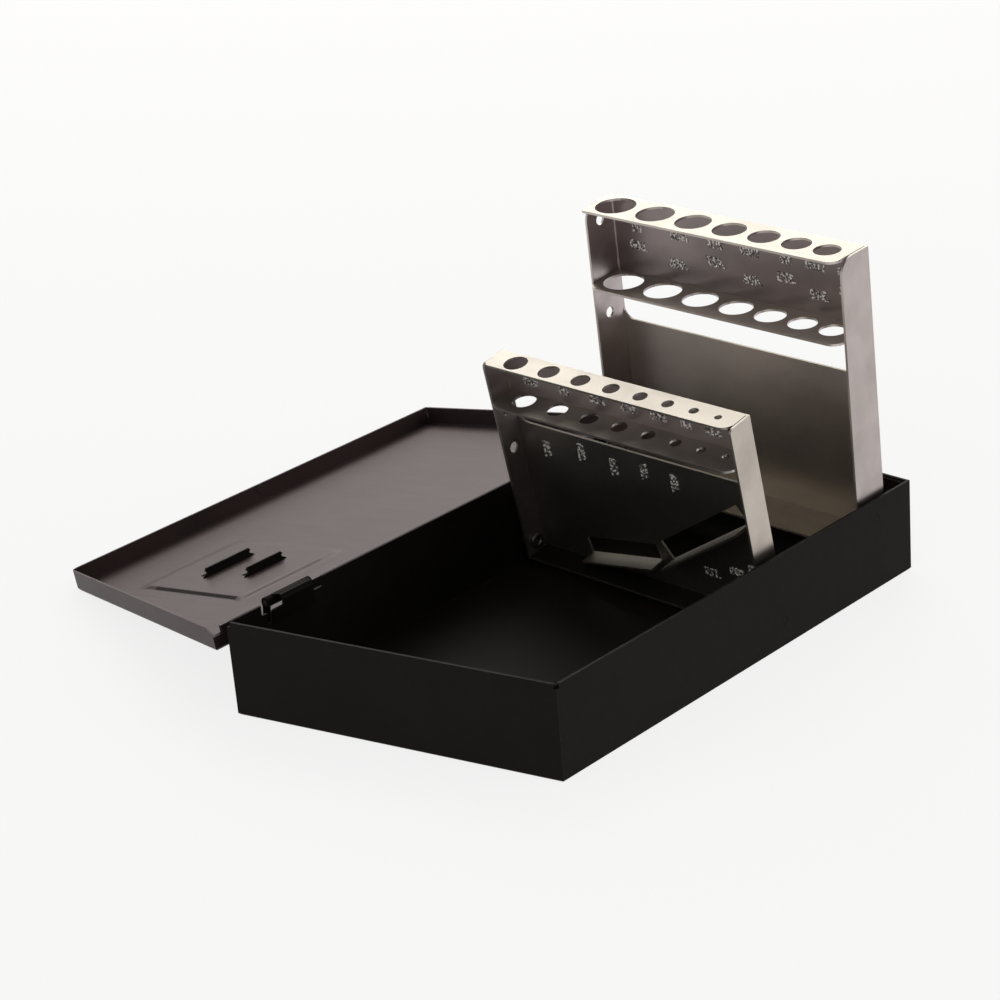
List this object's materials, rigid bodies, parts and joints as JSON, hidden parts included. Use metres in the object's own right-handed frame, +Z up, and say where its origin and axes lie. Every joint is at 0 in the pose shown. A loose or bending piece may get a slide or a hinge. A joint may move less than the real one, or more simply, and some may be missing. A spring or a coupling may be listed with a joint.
{
  "type": "drill bit case",
  "caption": "Folding sheet-metal drill bit case: a tray with a slanted near end, a hinged pan lid, and two drilled bit racks that fold down on rivets.",
  "frame": {"origin": "middle of the tray's underside: half its width and half its hinge-side length, where it stands on the bench", "axes": "+Z up, +X across the case from the hinge side to the open side, +Y along the case from the slanted near end to the far end"},
  "size_m": [0.2213, 0.1971, 0.1139],
  "materials": {
    "case_paint": "black satin enamel, rubbed at the edges",
    "lid_paint": "black satin enamel with a broad sheen",
    "hinge_paint": "black enamel",
    "pin_steel": "blackened wire",
    "rack_steel": "bright plated sheet with rolling marks",
    "rivet_steel": "plated"
  },
  "bodies": {
    "case": {"case_tray": "case_paint", "front_tray_leaf": "hinge_paint", "rear_tray_leaf": "hinge_paint", "front_left_pivot": "rivet_steel", "front_right_pivot": "rivet_steel", "rear_left_pivot": "rivet_steel", "rear_right_pivot": "rivet_steel", "front_left_spacer": "rivet_steel", "front_right_spacer": "rivet_steel", "rear_left_spacer": "rivet_steel", "rear_right_spacer": "rivet_steel", "front_hinge_pin": "pin_steel", "rear_hinge_pin": "pin_steel"},
    "lid": {"lid_shell": "lid_paint", "front_lid_leaf": "hinge_paint", "rear_lid_leaf": "hinge_paint"},
    "rear_rack": {"rear_rack": "rack_steel"},
    "front_rack": {"front_rack": "rack_steel"}
  },
  "joints": [
    {"name": "rear_rack_fold", "type": "hinge", "parent": "case", "child": "rear_rack", "pos_m": [0, 0.07931, 0.02463], "axis": [1, 0, 0], "range_deg": [0, 86.5]},
    {"name": "front_rack_fold", "type": "hinge", "parent": "case", "child": "front_rack", "pos_m": [0, 0.03174, 0.00889], "axis": [1, 0, 0], "range_deg": [0, 79.28]},
    {"name": "lid_swing", "type": "hinge", "parent": "case", "child": "lid", "pos_m": [-0.05739, 0, 0.02902], "axis": [0, 1, 0], "range_deg": [0, 105.87]}
  ],
  "couplings": [
    {"joint": "front_rack_fold", "follows": "rear_rack_fold", "ratio": 0.91653}
  ]
}
